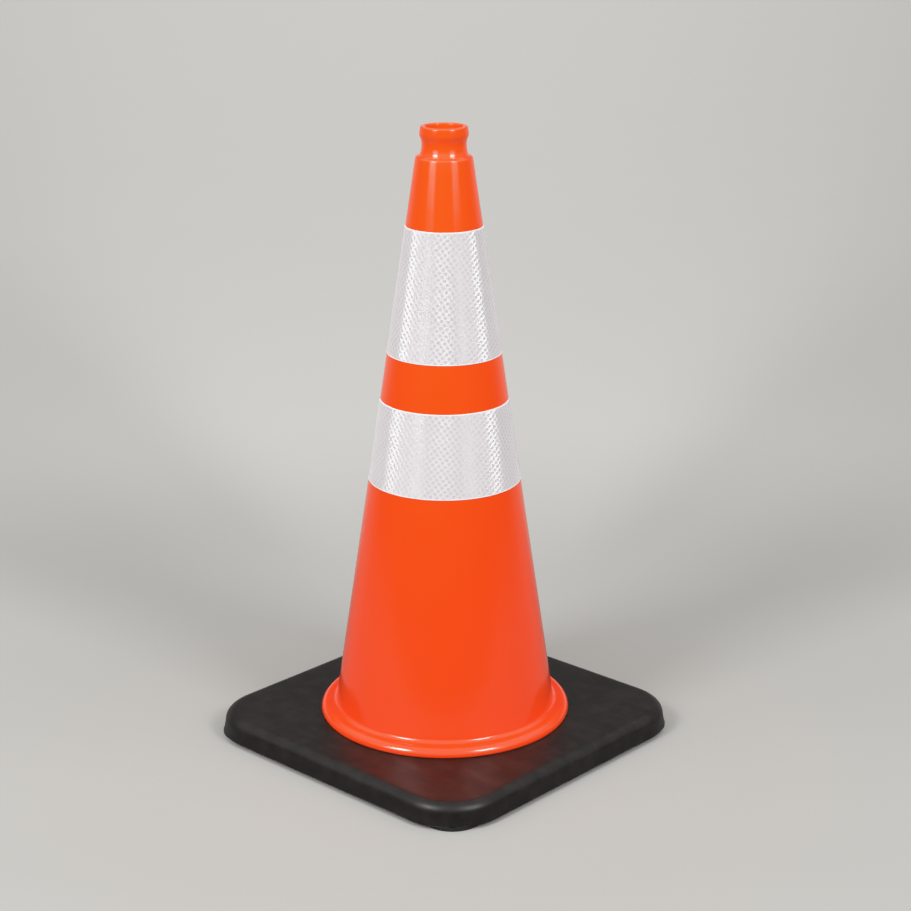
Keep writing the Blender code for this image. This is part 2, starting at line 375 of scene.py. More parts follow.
BACKING_WHITES = ((0.74, 0.74, 0.75), (0.80, 0.80, 0.80))
BACKING_GRAIN = (90.0, 3.0)
BACKING_TEXTURE_GRAIN = (700.0,)
BACKING_ROUGHNESS = (0.5, 0.6)
BACKING_BUMP = (0.2, 0.00005)


def set_bump(tree, shader, height, strength, distance):
    bump = add(tree, "ShaderNodeBump", Strength=strength, Distance=distance, Height=height)
    feed(tree, shader.inputs["Normal"], bump.outputs["Normal"])


def orange_pvc():
    """Glossy moulded PVC, with a faint moulding texture, painted lighter towards the top for the
    stronger light that the upper cone gets.
    """
    made, tree, shader = new_material("orange_pvc", ior=1.55, specular=0.6)
    place = object_place(tree)
    level = object_level(tree, place)
    drift = grain(tree, place, *ORANGE_DRIFT_GRAIN)
    drifted = calc(tree, "MULTIPLY_ADD", drift, ORANGE_DRIFT, level)
    painted_light_share = step_between(tree, drifted, *ORANGE_LEVELS)
    feed(tree, shader.inputs["Base Color"], mixed(tree, painted_light_share, ORANGE_FOOT, ORANGE_TOP_PAINTED_LIGHTER))
    smudge = grain(tree, place, *ORANGE_SMUDGE_GRAIN)
    roughness = step_between(tree, smudge, *GRAIN_SPAN, *ORANGE_ROUGHNESS)
    feed(tree, shader.inputs["Roughness"], roughness)
    set_bump(tree, shader, grain(tree, place, *ORANGE_TEXTURE_GRAIN), *ORANGE_BUMP)
    return made


def black_rubber():
    """Recycled black rubber and PVC: mottled, smudged, with a few pale specks and a painted
    highlight along the lower arris, where its edge catches light.
    """
    made, tree, shader = new_material("black_base", ior=1.40)
    place = object_place(tree)
    mottle = step_between(tree, grain(tree, place, *MOTTLE_GRAIN), *MOTTLE_SPAN)
    colour = mixed(tree, mottle, RUBBER, RUBBER_WORN)

    specks = add(tree, "ShaderNodeTexVoronoi", Vector=place, Scale=SPECK_SCALE, Randomness=1.0)
    chance = add(tree, "ShaderNodeTexWhiteNoise", Vector=specks.outputs["Color"])
    near = step_between(tree, specks.outputs["Distance"], *SPECK_EDGE, 1.0, 0.0)
    rare = calc(tree, "GREATER_THAN", chance.outputs["Value"], NO_SPECK)
    colour = mixed(tree, calc(tree, "MULTIPLY", near, rare), colour, DUST_AND_ARRIS_HIGHLIGHT)

    # Painted highlight: pale patches along the slab's lower arris, standing in for light that the
    # edge catches.
    highlight_levels = [BASE_BOTTOM + rise for rise in ARRIS_HIGHLIGHT_REACH]
    arris = step_between(tree, object_level(tree, place), *highlight_levels, 1.0, 0.0)
    highlight_patches = step_between(tree, grain(tree, place, *ARRIS_HIGHLIGHT_GRAIN), *ARRIS_HIGHLIGHT_SPAN)
    colour = mixed(tree, calc(tree, "MULTIPLY", arris, highlight_patches), colour, DUST_AND_ARRIS_HIGHLIGHT)
    feed(tree, shader.inputs["Base Color"], colour)

    turn = (0.0, 0.0, STREAK_TURN)
    streaks = add(tree, "ShaderNodeMapping", Vector=place, Rotation=turn, Scale=STREAK_SCALES)
    smudge = grain(tree, streaks.outputs["Vector"], *STREAK_GRAIN)
    roughness = step_between(tree, smudge, *GRAIN_SPAN, *RUBBER_ROUGHNESS)
    feed(tree, shader.inputs["Roughness"], roughness)
    coarse, fine = [grain(tree, place, *texture) for texture in RUBBER_TEXTURE_GRAINS]
    set_bump(tree, shader, calc(tree, "ADD", coarse, fine), *RUBBER_BUMP)
    return made


def pad_rubber():
    """Soft matt rubber, dusty where it meets the floor."""
    made, tree, shader = new_material("pad_rubber")
    place = object_place(tree)
    low = step_between(tree, object_level(tree, place), *PAD_DUST_LEVELS, 1.0, 0.0)
    patches = step_between(tree, grain(tree, place, *PAD_PATCH_GRAIN), *PAD_PATCH_SPAN)
    dusty = calc(tree, "MULTIPLY", calc(tree, "MULTIPLY", low, patches), PAD_DUST)
    feed(tree, shader.inputs["Base Color"], mixed(tree, dusty, PAD_BLACK, DUST_AND_ARRIS_HIGHLIGHT))
    roughness = step_between(tree, patches, 0.0, 1.0, *PAD_ROUGHNESS)
    feed(tree, shader.inputs["Roughness"], roughness)
    set_bump(tree, shader, grain(tree, place, *PAD_TEXTURE_GRAIN), *PAD_BUMP)
    return made


def white_backing():
    """The matt white film under the lens film, which shows only at the collars' edges."""
    made, tree, shader = new_material("collar_backing")
    place = object_place(tree)
    shade = grain(tree, place, *BACKING_GRAIN)
    feed(tree, shader.inputs["Base Color"], mixed(tree, shade, *BACKING_WHITES))
    roughness = step_between(tree, shade, *GRAIN_SPAN, *BACKING_ROUGHNESS)
    feed(tree, shader.inputs["Roughness"], roughness)
    set_bump(tree, shader, grain(tree, place, *BACKING_TEXTURE_GRAIN), *BACKING_BUMP)
    return made


# The sheeting's pattern: round sealed dots on a diamond lattice, and prisms on the web between
# them. Sizes are across the flat sheet, before it is wrapped.
HALF_PITCH_X = 0.00373
HALF_PITCH_Y = 0.00415
LATTICE_TURN = math.radians(2.8)
DOT_R = 0.0020
DOT_SOFT = 0.00035
PLAIN_BORDER = 0.0012
BORDER_SOFT = 0.2  # how far its inner edge fades to each side, as a share of it
WEB_RIDGE = 0.46  # past this share of a cell the web leans the other way

# The film's whites. The tint shows in slow patches.
WEB_WHITE = (0.735, 0.712, 0.721)
DOT_WHITE = (0.635, 0.602, 0.620)
BORDER_WHITE = (0.82, 0.82, 0.82)
FILM_TINT = (0.76, 0.70, 0.73)
FILM_TINT_SHARE = (0.0, 0.12)
FILM_TINT_GRAIN = (25.0, 2.0)
FILM_ROUGHNESS = (0.45, 0.55)  # of the dots, then of the web

# How the light leaves the film: the prisms' slant spreads its shade, and its coat glints.
PRISM_PITCH = 0.0006
PRISM_SLANT = 0.85
WEB_TILT = 0.48
FILM_LIFT = 0.35
DOT_COAT = 0.18
WEB_COAT = (0.24, 1.0)  # of the web seen square on, and seen a little aside
WEB_COAT_SPAN = (0.06, 0.24)
COAT_END_SPAN = (0.29, 0.52)  # where the coat fades, towards the film's outline
FILM_COAT_ROUGHNESS = 0.2
FILM_COAT_IOR = 1.65
FILM_DIFFUSE_ROUGHNESS = 1.0
FILM_SHEEN = 0.4
FILM_SHEEN_ROUGHNESS = 0.5
FILM_SHEEN_TINT = (1.0, 0.93, 0.94, 1.0)

UPWARDS = (0.0, 0.0, 1.0)


def lattice_offsets(tree, sheet):
    """How far a place is from its nearest dot along the lattice's two directions, in cells."""
    turned = add(
        tree,
        "ShaderNodeMapping",
        Vector=sheet,
        Rotation=(0.0, 0.0, LATTICE_TURN),
        Scale=(0.5 / HALF_PITCH_X, 0.5 / HALF_PITCH_Y, 1.0),
    )
    along = add(tree, "ShaderNodeSeparateXYZ", Vector=turned.outputs["Vector"])
    u, v = along.outputs["X"], along.outputs["Y"]
    cells = calc(tree, "ADD", u, v), calc(tree, "SUBTRACT", u, v)
    return [calc(tree, "SUBTRACT", cell, calc(tree, "ROUND", cell)) for cell in cells]


def film_web(tree, p_off, q_off):
    """1 on the web between the dots, and 0 on the dots."""
    across = calc(tree, "MULTIPLY", calc(tree, "ADD", p_off, q_off), HALF_PITCH_X)
    up = calc(tree, "MULTIPLY", calc(tree, "SUBTRACT", p_off, q_off), HALF_PITCH_Y)
    squares = calc(tree, "POWER", across, 2.0), calc(tree, "POWER", up, 2.0)
    reach = calc(tree, "SQRT", calc(tree, "ADD", *squares))
    return step_between(tree, reach, DOT_R - DOT_SOFT, DOT_R + DOT_SOFT)


def film_inside(tree):
    """1 on the pattern, and 0 on the plain border along the film's edges."""
    edges = add(tree, "ShaderNodeUVMap", {"uv_map": "edges"}).outputs["UV"]
    parts = add(tree, "ShaderNodeSeparateXYZ", Vector=edges)
    from_edge = calc(tree, "MINIMUM", parts.outputs["X"], parts.outputs["Y"])
    span = PLAIN_BORDER * (1 - BORDER_SOFT), PLAIN_BORDER * (1 + BORDER_SOFT)
    return step_between(tree, from_edge, *span)


def film_colour(tree, web, inside):
    slow = grain(tree, object_place(tree), *FILM_TINT_GRAIN)
    tint = step_between(tree, slow, *GRAIN_SPAN, *FILM_TINT_SHARE)
    colour = mixed(tree, tint, mixed(tree, web, DOT_WHITE, WEB_WHITE), FILM_TINT)
    return mixed(tree, inside, BORDER_WHITE, colour)


def prism_normal(tree, sheet, outward, sideways, inside):
    """Upright prisms, whose facets slant to the right and to the left in turn."""
    sheet_x = add(tree, "ShaderNodeSeparateXYZ", Vector=sheet).outputs["X"]
    wave = calc(tree, "SINE", calc(tree, "MULTIPLY", sheet_x, math.tau / PRISM_PITCH))
    prism = calc(tree, "SIGN", wave)
    slant = calc(tree, "MULTIPLY", calc(tree, "MULTIPLY", prism, inside), PRISM_SLANT)
    faceted = vector_calc(tree, "ADD", outward, vector_calc(tree, "SCALE", sideways, scale=slant))
    return vector_calc(tree, "NORMALIZE", faceted)


def glint_normal(tree, outward, sideways, lean, inside):
    """The coat's normal, which leans sideways on the web, and a little upwards all over."""
    aside = vector_calc(tree, "SCALE", sideways, scale=lean)
    rise = calc(tree, "MULTIPLY", inside, FILM_LIFT)
    lift = vector_calc(tree, "SCALE", UPWARDS, scale=rise)
    tilted = vector_calc(tree, "ADD", outward, vector_calc(tree, "ADD", aside, lift))
    return vector_calc(tree, "NORMALIZE", tilted)


def prismatic_film():
    """White prismatic sheeting. The web's prisms lean to the right along one lattice direction
    and to the left along the other, so that they glint where the dots don't."""
    made, tree, shader = new_material("collar_lens", specular=0.0)
    sheet = add(tree, "ShaderNodeUVMap", {"uv_map": "sheet"}).outputs["UV"]
    p_off, q_off = lattice_offsets(tree, sheet)
    web = film_web(tree, p_off, q_off)
    inside = film_inside(tree)
    feed(tree, shader.inputs["Base Color"], film_colour(tree, web, inside))
    roughness = step_between(tree, web, 0.0, 1.0, *FILM_ROUGHNESS)
    feed(tree, shader.inputs["Roughness"], roughness)

    outward = tree.nodes.new("ShaderNodeNewGeometry").outputs["Normal"]
    sideways = vector_calc(tree, "CROSS_PRODUCT", UPWARDS, outward)
    facets = prism_normal(tree, sheet, outward, sideways, inside)
    feed(tree, shader.inputs["Normal"], facets)

    p_far, q_far = calc(tree, "ABSOLUTE", p_off), calc(tree, "ABSOLUTE", q_off)
    ridge = calc(tree, "GREATER_THAN", calc(tree, "MAXIMUM", p_far, q_far), WEB_RIDGE)
    way = calc(tree, "MULTIPLY_ADD", ridge, -2.0, 1.0)
    way = calc(tree, "MULTIPLY", way, calc(tree, "SIGN", calc(tree, "SUBTRACT", p_far, q_far)))
    tilt = calc(tree, "MULTIPLY", calc(tree, "MULTIPLY", web, inside), WEB_TILT)
    lean = calc(tree, "MULTIPLY", tilt, way)
    glints = glint_normal(tree, outward, sideways, lean, inside)
    feed(tree, shader.inputs["Coat Normal"], glints)

    facing = tree.nodes.new("ShaderNodeLayerWeight").outputs["Facing"]
    web_coat = step_between(tree, facing, *WEB_COAT_SPAN, *WEB_COAT)
    over_dots = calc(tree, "SUBTRACT", web_coat, DOT_COAT)
    coat = calc(tree, "MULTIPLY_ADD", over_dots, web, DOT_COAT)
    coat = calc(tree, "MULTIPLY", coat, step_between(tree, facing, *COAT_END_SPAN, 1.0, 0.0))
    feed(tree, shader.inputs["Coat Weight"], coat)
    shader.inputs["Coat Roughness"].default_value = FILM_COAT_ROUGHNESS
    shader.inputs["Coat IOR"].default_value = FILM_COAT_IOR
    shader.inputs["Diffuse Roughness"].default_value = FILM_DIFFUSE_ROUGHNESS
    shader.inputs["Sheen Weight"].default_value = FILM_SHEEN
    shader.inputs["Sheen Roughness"].default_value = FILM_SHEEN_ROUGHNESS
    shader.inputs["Sheen Tint"].default_value = FILM_SHEEN_TINT
    return made


# --- Cone body ------------------------------------------------------------------------------


def rim_and_neck():
    """From the bore's upper edge out over the rim, and down the waisted neck."""
    rim_top_r = RIM_R - RIM_TAPER
    waist_drop = RIM_BOTTOM_Z - RIM_UNDERSIDE - NECK_Z
    upper_end = math.degrees(math.asin(waist_drop / NECK_UPPER_ARC_R))
    foot_drop = NECK_Z - SHOULDER_Z - SHOULDER_FILLET_R
    lower_end = math.degrees(math.asin(foot_drop / NECK_LOWER_ARC_R))
    edge_z = HEIGHT - RIM_EDGE_R
    points = arc(NECK_BORE_R + RIM_EDGE_R, edge_z, RIM_EDGE_R, 180, 90, RIM_EDGE_STEPS)
    points += arc(rim_top_r - RIM_EDGE_R, edge_z, RIM_EDGE_R, 90, 0, RIM_EDGE_STEPS)
    points += [(RIM_R, RIM_BOTTOM_Z + RIM_LIP), (RIM_R - RIM_LIP_TAPER, RIM_BOTTOM_Z)]
    upper_r, lower_r = NECK_UPPER_ARC_R, NECK_LOWER_ARC_R
    points += arc(NECK_R + upper_r, NECK_Z, upper_r, 180 - upper_end, 180, NECK_STEPS)
    points += arc(NECK_R + lower_r, NECK_Z, lower_r, 180, 180 + lower_end, NECK_STEPS)[1:]
    return points


def shoulder():
    """The fillet at the neck's foot and the rounded edge onto the taper."""
    neck_foot_r = NECK_R + NECK_LOWER_ARC_R - math.sqrt(
        NECK_LOWER_ARC_R**2 - (NECK_Z - SHOULDER_Z - SHOULDER_FILLET_R) ** 2
    )
    fillet_r = neck_foot_r + SHOULDER_FILLET_R
    edge_z = SHOULDER_Z - SHOULDER_EDGE_R
    edge_r = wall_radius(edge_z) - SHOULDER_EDGE_R / math.cos(HALF_ANGLE)
    half_angle = math.degrees(HALF_ANGLE)
    fillet_z = SHOULDER_Z + SHOULDER_FILLET_R
    points = arc(fillet_r, fillet_z, SHOULDER_FILLET_R, 180, 270, SHOULDER_FILLET_STEPS)[1:]
    points += arc(edge_r, edge_z, SHOULDER_EDGE_R, 90, half_angle, SHOULDER_EDGE_STEPS)
    return points


def stretch(upper, lower, inward=0.0):
    """Points down the taper between two heights, a little apart, ends included."""
    steps = max(1, math.ceil((upper - lower) / WALL_STEP))
    heights = [upper + (lower - upper) * i / steps for i in range(steps + 1)]
    return [(wall_radius(z) - inward, z) for z in heights]


def taper(collars):
    """The outside of the taper, with the shallow seat of each collar."""
    points = []
    level = SHOULDER_Z - SHOULDER_EDGE_R - WALL_STEP
    for top, bottom in collars:
        points += stretch(level, top + GAP)
        points += stretch(top + GAP, bottom - GAP, SEAT_DEPTH / math.cos(HALF_ANGLE))
        level = bottom - GAP
    return points + stretch(level, FLANGE_TOP + FLANGE_FILLET_R + WALL_STEP)


def flange_and_skirt():
    """The fillet at the wall's foot, the rolled flange, and the skirt's outside."""
    fillet_z = FLANGE_TOP + FLANGE_FILLET_R
    fillet_r = wall_radius(fillet_z) + FLANGE_FILLET_R / math.cos(HALF_ANGLE)
    edge_z = FLANGE_TOP - FLANGE_EDGE_R
    seat_z = BASE_TOP + GAP
    half_angle = math.degrees(HALF_ANGLE)
    edge_r = FLANGE_R - FLANGE_EDGE_R
    points = arc(fillet_r, fillet_z, FLANGE_FILLET_R, 180 + half_angle, 270, FLANGE_FILLET_STEPS)
    points += arc(edge_r, edge_z, FLANGE_EDGE_R, 90, 0, FLANGE_EDGE_STEPS)
    points += [(FLANGE_R - FLANGE_UNDERCUT, seat_z), (wall_radius(seat_z), seat_z)]
    points += [(wall_radius(SKIRT_BOTTOM), SKIRT_BOTTOM)]
    return points


def inside():
    """The inner surface, from the skirt's foot up to the bore."""
    inward = WALL / math.cos(HALF_ANGLE)
    ceiling = SHOULDER_Z - SHOULDER_PLATE
    under = ceiling - HAUNCH_HEIGHT
    points = stretch(under, SKIRT_BOTTOM, inward)[::-1]
    points += [(wall_radius(under) - inward - HAUNCH_REACH, ceiling), (NECK_BORE_R, ceiling)]
    return points


def lug_places():
    """(x, y) of each lug, on a circle under the flange."""
    for i in range(LUG_COUNT):
        angle = math.tau * i / LUG_COUNT
        yield LUG_CIRCLE_R * math.cos(angle), LUG_CIRCLE_R * math.sin(angle)


def make_body(collars, finish):
    """The shell with its locking lugs. collars are the (top, bottom) of each, from the top."""
    profile = rim_and_neck() + shoulder() + taper(collars) + flange_and_skirt() + inside()
    bm = bmesh.new()
    loft(bm, turned_rings(bm, profile, BODY_STEPS), closed=True)
    for vert in bm.verts:
        out = Vector((vert.co.x, vert.co.y, 0.0))
        if vert.co.z > BASE_TOP + FLANGE_EDGE_R / 2:
            kind = RIM_UNEVEN if vert.co.z > SHOULDER_Z else BODY_UNEVEN
            vert.co -= out.normalized() * uneven(vert.co, *kind)
        if vert.co.z > RIM_BOTTOM_Z + RIM_LIP:
            vert.co.z -= uneven(out, *RIM_TOP_UNEVEN)
    body = object_from(bm, "cone_body_shell", finish)
    bm = bmesh.new()
    outline = [
        (LUG_HEAD_R - LUG_ARRIS, SKIRT_BOTTOM),
        (LUG_HEAD_R, SKIRT_BOTTOM + LUG_ARRIS),
        (LUG_HEAD_R, LUG_HEAD_TOP),
        (LUG_R, LUG_HEAD_TOP),
        (LUG_R, (BASE_TOP + FLANGE_TOP) / 2),
    ]
    for place in lug_places():
        loft(bm, turned_rings(bm, outline, LUG_STEPS, place), closed=False)
    cut_or_join(body, bm, "UNION")
    return body


# --- Base -----------------------------------------------------------------------------------


def slab_outline(inset, z):
    """The slab's outline drawn in by inset, anticlockwise, starting on its +X side."""
    radius = BASE_CORNER_R - inset
    points = []
    for quarter in range(4):
        turned = Matrix.Rotation(quarter * math.pi / 2, 3, "Z")
        for i in range(SIDE_STEPS):
            along = CORNER_CENTRE * (2 * i / SIDE_STEPS - 1)
            points.append(turned @ Vector((CORNER_CENTRE + radius, along, z)))
        for i in range(CORNER_STEPS):
            angle = math.pi / 2 * i / CORNER_STEPS
            reach = Vector((radius * math.cos(angle), radius * math.sin(angle), z))
            points.append(turned @ (Vector((CORNER_CENTRE, CORNER_CENTRE, 0.0)) + reach))
    return points


def hole_outline(outline, z):
    """The stacking hole's edge at a height, a point on the bearing of each outline point."""
    radius = wall_radius(z) + GAP / math.cos(HALF_ANGLE)
    return [Vector((p.x, p.y, 0.0)).normalized() * radius + Vector((0.0, 0.0, z)) for p in outline]


def slab_levels():
    """(inset, z) of the slab's outline from its lower edge up over the rolled edge."""
    levels = [(BASE_ARRIS, BASE_BOTTOM), (0.0, BASE_BOTTOM + BASE_ARRIS)]
    for step in range(BASE_EDGE_STEPS + 1):
        angle = math.pi / 2 * step / BASE_EDGE_STEPS
        inset = BASE_DRAFT + BASE_EDGE_R * (1 - math.cos(angle))
        levels.append((inset, BASE_TOP - BASE_EDGE_R * (1 - math.sin(angle))))
    return levels


def between(outer, inner, count):
    """The rings that divide the band between two outlines, both left out."""
    return [[a.lerp(b, i / count) for a, b in zip(outer, inner)] for i in range(1, count)]


def make_slab(feet, finish):
    """The slab, with a bore for each lug and a socket for each foot. feet are their boxes."""
    rims = [slab_outline(*level) for level in slab_levels()]
    top_hole = hole_outline(rims[-1], BASE_TOP)
    low_hole = hole_outline(rims[-1], BASE_BOTTOM)
    sections = rims + between(rims[-1], top_hole, DECK_RINGS) + [top_hole, low_hole]
    sections += between(low_hole, rims[0], DECK_RINGS)
    bm = bmesh.new()
    loft(bm, [[bm.verts.new(point) for point in section] for section in sections], closed=True)
    for vert in bm.verts:
        if vert.co.z > BASE_TOP - BASE_EDGE_R / 2:
            vert.co.z -= uneven(vert.co, *SLAB_UNEVEN)
    slab = object_from(bm, "base_slab_moulding", finish)

    bm = bmesh.new()
    low, high = BASE_BOTTOM - CUT_MARGIN, BASE_TOP + CUT_MARGIN
    bore = [
        (LUG_HEAD_R + GAP, low),
        (LUG_HEAD_R + GAP, LUG_HEAD_TOP + GAP),
        (LUG_R + GAP, LUG_HEAD_TOP + GAP),
        (LUG_R + GAP, high),
    ]
    for place in lug_places():
        loft(bm, turned_rings(bm, bore, LUG_STEPS, place), closed=False)
    socket = [(PLUG_R + GAP, low), (PLUG_R + GAP, PLUG_TOP + GAP)]
    for low_corner, high_corner in feet:
        middle = (low_corner + high_corner) / 2
        loft(bm, turned_rings(bm, socket, FOOT_STEPS, middle), closed=False)
    cut_or_join(slab, bm, "DIFFERENCE")
    return slab


def make_foot(name, low_corner, high_corner, finish):
    """A round pad with a groove in its tread and a plug that fills its socket in the slab."""
    radius = (high_corner.x - low_corner.x) / 2
    pad_top = BASE_BOTTOM - GAP
    inner, outer = GROOVE_R - GROOVE_WIDTH / 2, GROOVE_R + GROOVE_WIDTH / 2
    outline = [(inner, 0.0), (inner, GROOVE_DEPTH), (outer, GROOVE_DEPTH), (outer, 0.0)]
    outline += arc(radius - FOOT_EDGE_R, FOOT_EDGE_R, FOOT_EDGE_R, -90, 0, FOOT_EDGE_STEPS)
    outline += [(radius, pad_top), (PLUG_R, pad_top)]
    edge_z = PLUG_TOP - FOOT_EDGE_R
    outline += arc(PLUG_R - FOOT_EDGE_R, edge_z, FOOT_EDGE_R, 0, 90, PLUG_EDGE_STEPS)
    bm = bmesh.new()
    loft(bm, turned_rings(bm, outline, FOOT_STEPS, (low_corner + high_corner) / 2), closed=False)
    return object_from(bm, name, finish)


# --- Collars --------------------------------------------------------------------------------


def film_angles(middle_r):
    """Angles round from the seam for the film's rings, past a full turn where it overlaps."""
    turn_step = math.tau / BODY_STEPS
    ramp, overlap = RAMP / middle_r, OVERLAP / middle_r
    angles = [turn_step * i for i in range(BODY_STEPS) if turn_step * (i + 0.5) < math.tau - ramp]
    angles += [math.tau - ramp * (1 - i / RAMP_STEPS) for i in range(RAMP_STEPS)]
    angles += [math.tau - GAP / middle_r]
    laps = [turn_step * i for i in range(BODY_STEPS) if turn_step * (i + 0.5) < overlap]
    return angles + [math.tau + lap for lap in laps] + [math.tau + overlap]


def film_section(top, bottom, lift, arris):
    """(out of the seat, z) of a film's section, with its outer edges softened by arris."""
    return [
        (lift, bottom),
        (lift + FILM - arris, bottom),
        (lift + FILM, bottom + arris),
        (lift + FILM, top - arris),
        (lift + FILM - arris, top),
        (lift, top),
    ]


def make_film(name, top, bottom, lift, arris, finish):
    """A strip wrapped round the taper from the seam, whose last stretch climbs over its start.
    Its UV maps are in metres: sheet is the place on the flat sheet, and edges is the distance
    from the lower and from the upper edge."""
    middle_r = wall_radius((top + bottom) / 2)
    ramp = RAMP / middle_r
    angles = film_angles(middle_r)
    section = film_section(top, bottom, lift, arris)
    bm = bmesh.new()
    sheet = bm.loops.layers.uv.new("sheet")
    edges = bm.loops.layers.uv.new("edges")
    rings, places = [], {}
    for angle in angles:
        climbed = (angle - math.tau + ramp) / (ramp - GAP / middle_r)
        climb = min(max(climbed, 0.0), 1.0) * LAMINATE
        around = SEAM_ANGLE + angle
        flat_angle = (angle - math.pi) * math.sin(HALF_ANGLE)
        ring = []
        for out, z in section:
            radius = wall_radius(z) + (out + climb - SEAT_DEPTH) / math.cos(HALF_ANGLE)
            vert = bm.verts.new((radius * math.cos(around), radius * math.sin(around), z))
            slant = (APEX_Z - z) / math.cos(HALF_ANGLE)
            flat = (slant * math.sin(flat_angle), APEX_Z - slant * math.cos(flat_angle))
            margin = ((z - bottom) / math.cos(HALF_ANGLE), (top - z) / math.cos(HALF_ANGLE))
            places[vert] = (flat, margin)
            ring.append(vert)
        rings.append(ring)
    loft(bm, rings, closed=False)
    for face in bm.faces:
        for loop in face.loops:
            loop[sheet].uv, loop[edges].uv = places[loop.vert]
    return object_from(bm, name, finish)


# --- Studio ---------------------------------------------------------------------------------
# The camera faces the object across the floor. Behind is the side beyond the object.

CAMERA_AZIMUTH = 43.02  # degrees, from -Y towards +X
CAMERA_DISTANCE = 2.399
CAMERA_HEIGHT = 1.1257
CAMERA_PITCH = 17.79
CAMERA_YAW = 0.312  # how far right of the cone's axis the camera looks
CAMERA_LENS = 83.32

LIGHT_DISTANCE = 2.25
LIGHT_TARGET = Vector((0.0, 0.0, 0.40))
LEFT_BEARING, RIGHT_BEARING = -45.0, 41.0
# Bearing, height, size and watts. The skirts are the dim lower edges of the softboxes.
LIGHTS = {
    "softbox_left": (LEFT_BEARING, 1.90, 0.76, 38.0),
    "softbox_right": (RIGHT_BEARING, 1.90, 0.76, 32.0),
    "skirt_left": (LEFT_BEARING, 1.36, 1.00, 9.0),
    "skirt_right": (RIGHT_BEARING, 1.36, 1.00, 5.5),
}
# The fills shade the object's sides. They have no reflection and don't light the floor.
FILLS = {
    "fill_left": (-112.0, 0.60, 1.20, 4.5),
    "fill_right": (112.0, 0.60, 1.20, 9.0),
}

BLACK = (0.0, 0.0, 0.0)
WHITE = (1.0, 1.0, 1.0)
BACKDROP = (0.580, 0.575, 0.552)

# What lights the object, by how far up and how far back a direction points.
BACK_GLOW = 0.56
HIGH_BACK_GLOW = 0.11
BACK_TOP_SPAN = (0.12, 0.34)
BACK_SPAN = (0.2, 0.95)
FRONT_GLOW = 0.05
CEILING_GLOW = 1.0
CEILING_FORWARD = 0.35  # the ceiling leans towards the front
CEILING_UPWARD = 0.94
CEILING_SPAN = (0.15, 0.6)
CEILING_FOOT_SPAN = (0.12, 0.38)
SIDE_GLOW = 0.5
SIDE_MIDDLE = 0.12
SIDE_SPAN = (0.25, 0.5)
SIDE_FOOT_SPAN = (0.10, 0.25)

FLOOR_SIZE = 60.0
FLOOR_CELLS = 12
FLOOR_GREY = (0.388, 0.383, 0.3645)
FLOOR_PAINTED_DARK = (0.02, 0.02, 0.02)
FLOOR_MOTTLE = 0.015
FLOOR_GRAIN = (3.0, 3.0)
FLOOR_ROUGHNESS = 0.9

# The floor's own glow, by the distance from just before the object.
GLOW_CENTRE = 0.1
GLOW_SQUEEZE = 0.55
GLOW_START = 0.3
NEAR_GLOW = 0.31  # how much of the backdrop's light the floor gives itself, near and far
NEAR_REACH = 1.2
FAR_GLOW = 0.17
FAR_REACH = 3.2
DIM_MIDDLE = -0.03  # the glow dims to both sides of this bearing, as a slope from the camera
DIM_RATE = 4.0
DIM_LEAST = 0.74

# The floor's painted shade: two faint long painted shadows behind the object, and a little painted
# shade in front of it.
SHADE = 0.13
SHADOW_INNER_SPAN = (0.90, 0.97)  # cosines of the bearing from straight behind
SHADOW_OUTER_SPAN = (0.45, 0.72)
SHADOW_START_SPAN = (0.35, 0.9)
SHADOW_END_SPAN = (1.6, 3.5)
SHADOW_END = 0.4
FRONT_SHADE = 0.06
FRONT_SPAN = (-0.45, -0.10)

# Painted shade for reflections and bounced light: where they find the floor pale, and where its
# colour is made dark.
SWEEP_SPAN = (0.35, 0.85)
FRONT_DARK_SPAN = (-0.85, -0.50)
SIDE_DARK_SPAN = (0.7, 2.4)
AROUND_PALE = 0.5
BACK_PALE_SPAN = (0.60, 0.98)

NOT_ZERO = 0.01  # added to a divisor

# The tone curve, as pairs of the scene's light and how bright it is shown.
TONE_WHITE = 2.2
TONE_END = 0.99
TONE_POINTS = ((0.5, 0.5), (0.75, 0.745), (0.9, 0.87), (1.1, 0.925), (1.5, 0.955))
COMBINED_CURVE = 3


def bearing(azimuth, distance, height):
    """A place at an azimuth round the object, in degrees from -Y towards +X."""
    angle = math.radians(azimuth)
    return Vector((distance * math.sin(angle), -distance * math.cos(angle), height))


def make_camera():
    data = bpy.data.cameras.new("camera")
    data.lens = CAMERA_LENS
    camera = bpy.data.objects.new("camera", data)
    camera.location = bearing(CAMERA_AZIMUTH, CAMERA_DISTANCE, CAMERA_HEIGHT)
    turn = (90.0 - CAMERA_PITCH, 0.0, CAMERA_AZIMUTH - CAMERA_YAW)
    camera.rotation_euler = Euler([math.radians(angle) for angle in turn])
    bpy.context.scene.collection.objects.link(camera)
    bpy.context.scene.camera = camera


def make_lights():
    for name, (side, height, size, watts) in (LIGHTS | FILLS).items():
        data = bpy.data.lights.new(name, "AREA")
        data.size = size
        data.energy = watts
        light = bpy.data.objects.new(name, data)
        light.location = bearing(CAMERA_AZIMUTH + side, LIGHT_DISTANCE, height)
        light.rotation_euler = (LIGHT_TARGET - light.location).to_track_quat("-Z", "Y").to_euler()
        light.visible_camera = False
        light.visible_glossy = name not in FILLS
        bpy.context.scene.collection.objects.link(light)


def camera_ray(tree):
    """1 where the camera sees a surface itself, and 0 for reflections and bounced light."""
    return tree.nodes.new("ShaderNodeLightPath").outputs["Is Camera Ray"]


